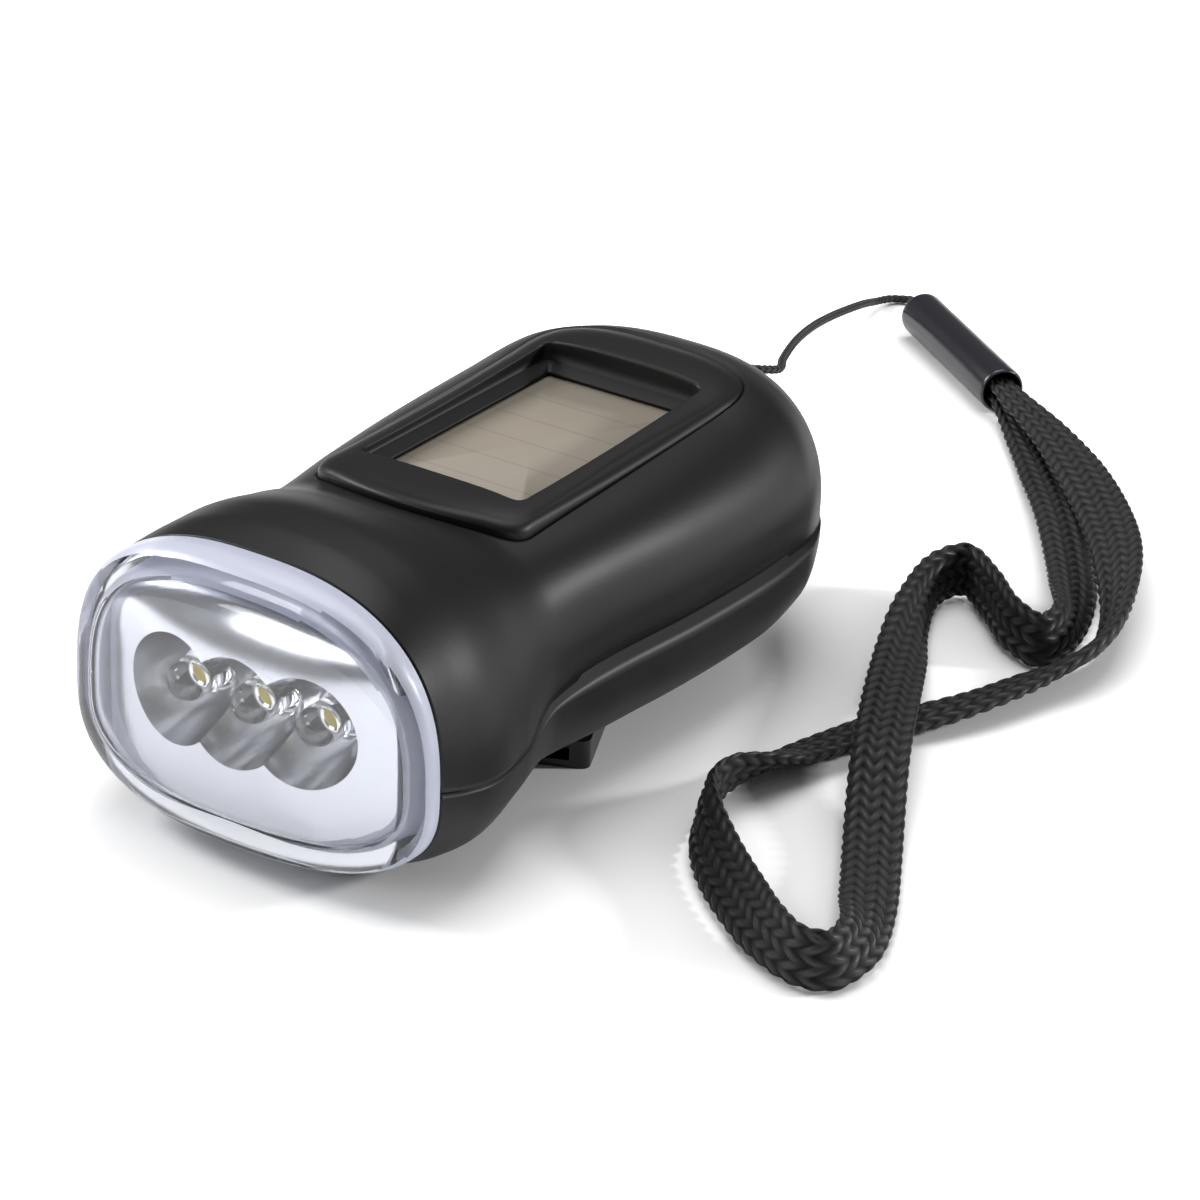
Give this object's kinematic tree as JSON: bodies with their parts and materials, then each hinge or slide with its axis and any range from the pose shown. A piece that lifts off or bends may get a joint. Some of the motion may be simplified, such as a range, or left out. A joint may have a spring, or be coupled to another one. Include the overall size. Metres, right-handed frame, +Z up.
{
  "type": "hand crank flashlight",
  "caption": "Palm-sized flashlight with a waisted black body, wide clear lens, solar cell on top, fold-out crank underneath and a looped wrist strap.",
  "frame": {"origin": "centre of the footprint of the flashlight without its strap, on the surface it stands on", "axes": "+X across the body, +Y from the lens to the tail, +Z up"},
  "size_m": [0.1007, 0.1999, 0.0401],
  "materials": {
    "black_shell": "satin moulded black with a fine texture",
    "black_trim": "smooth moulded black",
    "black_gloss": "glossy moulded black",
    "clear": "clear polished plastic",
    "lamp_clear": "clear epoxy",
    "chrome": "bright plating on moulded plastic",
    "solar": "glossy taupe thin-film cell with fine lines",
    "board": "green solder mask",
    "nylon": "natural nylon",
    "steel": "plain bright steel",
    "magnet": "dark sintered ferrite",
    "copper": "enamelled copper wire",
    "webbing": "black braided polyester"
  },
  "bodies": {
    "housing": {"upper_shell": "black_shell", "lower_shell": "black_shell", "solar_bezel": "black_shell", "lens_cover": "clear", "reflector": "chrome", "led_1": "lamp_clear", "led_2": "lamp_clear", "led_3": "lamp_clear", "led_board": "board", "main_board": "board", "tact_switch": "black_trim", "solar_cell": "solar", "gearbox_base": "nylon", "gearbox_cover": "nylon", "shaft_bush": "nylon", "first_idler_axle": "steel", "second_idler_axle": "steel", "stator_cup": "steel", "stator_coil": "copper", "wrist_cord": "webbing", "wrist_strap": "webbing", "cord_sleeve": "black_gloss", "cell_1": "steel", "gearbox_screw_1": "steel", "cell_2": "steel", "gearbox_screw_2": "steel", "cell_3": "steel", "gearbox_screw_3": "steel", "case_screw_1": "steel", "case_screw_2": "steel", "case_screw_3": "steel", "case_screw_4": "steel"},
    "crank": {"crank_shaft": "steel", "drive_gear": "nylon", "crank_arm": "black_trim", "grip_pin": "steel", "crank_screw": "steel"},
    "first_idler": {"first_idler_gear": "nylon"},
    "second_idler": {"second_idler_gear": "nylon"},
    "rotor": {"rotor_shaft": "steel", "rotor_magnet": "magnet"},
    "grip": {"crank_grip": "black_trim"},
    "button": {"switch_button": "black_trim"}
  },
  "joints": [
    {"name": "crank_spin", "type": "hinge", "parent": "housing", "child": "crank", "pos_m": [0, 0.0154, 0], "axis": [0, 0, 1], "continuous": true},
    {"name": "first_idler_spin", "type": "hinge", "parent": "housing", "child": "first_idler", "pos_m": [-0.00807, 0.00015, 0.012], "axis": [0, 0, 1], "continuous": true},
    {"name": "second_idler_spin", "type": "hinge", "parent": "housing", "child": "second_idler", "pos_m": [0.00728, -0.00339, 0.015], "axis": [0, 0, 1], "continuous": true},
    {"name": "rotor_spin", "type": "hinge", "parent": "housing", "child": "rotor", "pos_m": [0.00862, 0.01004, 0.02], "axis": [0, 0, 1], "continuous": true},
    {"name": "grip_fold", "type": "hinge", "parent": "crank", "child": "grip", "pos_m": [0.00984, -0.00671, 0.0018], "axis": [-0.9135, -0.4067, 0], "range_deg": [0, 90]},
    {"name": "button_press", "type": "slide", "parent": "housing", "child": "button", "axis": [1, 0, 0], "range_m": [0, 0.001], "stiffness_N_per_m": 800, "springref_m": -0.001}
  ],
  "couplings": [
    {"joint": "first_idler_spin", "follows": "crank_spin", "ratio": -3.6},
    {"joint": "second_idler_spin", "follows": "crank_spin", "ratio": 11.52},
    {"joint": "rotor_spin", "follows": "crank_spin", "ratio": -29.952}
  ]
}
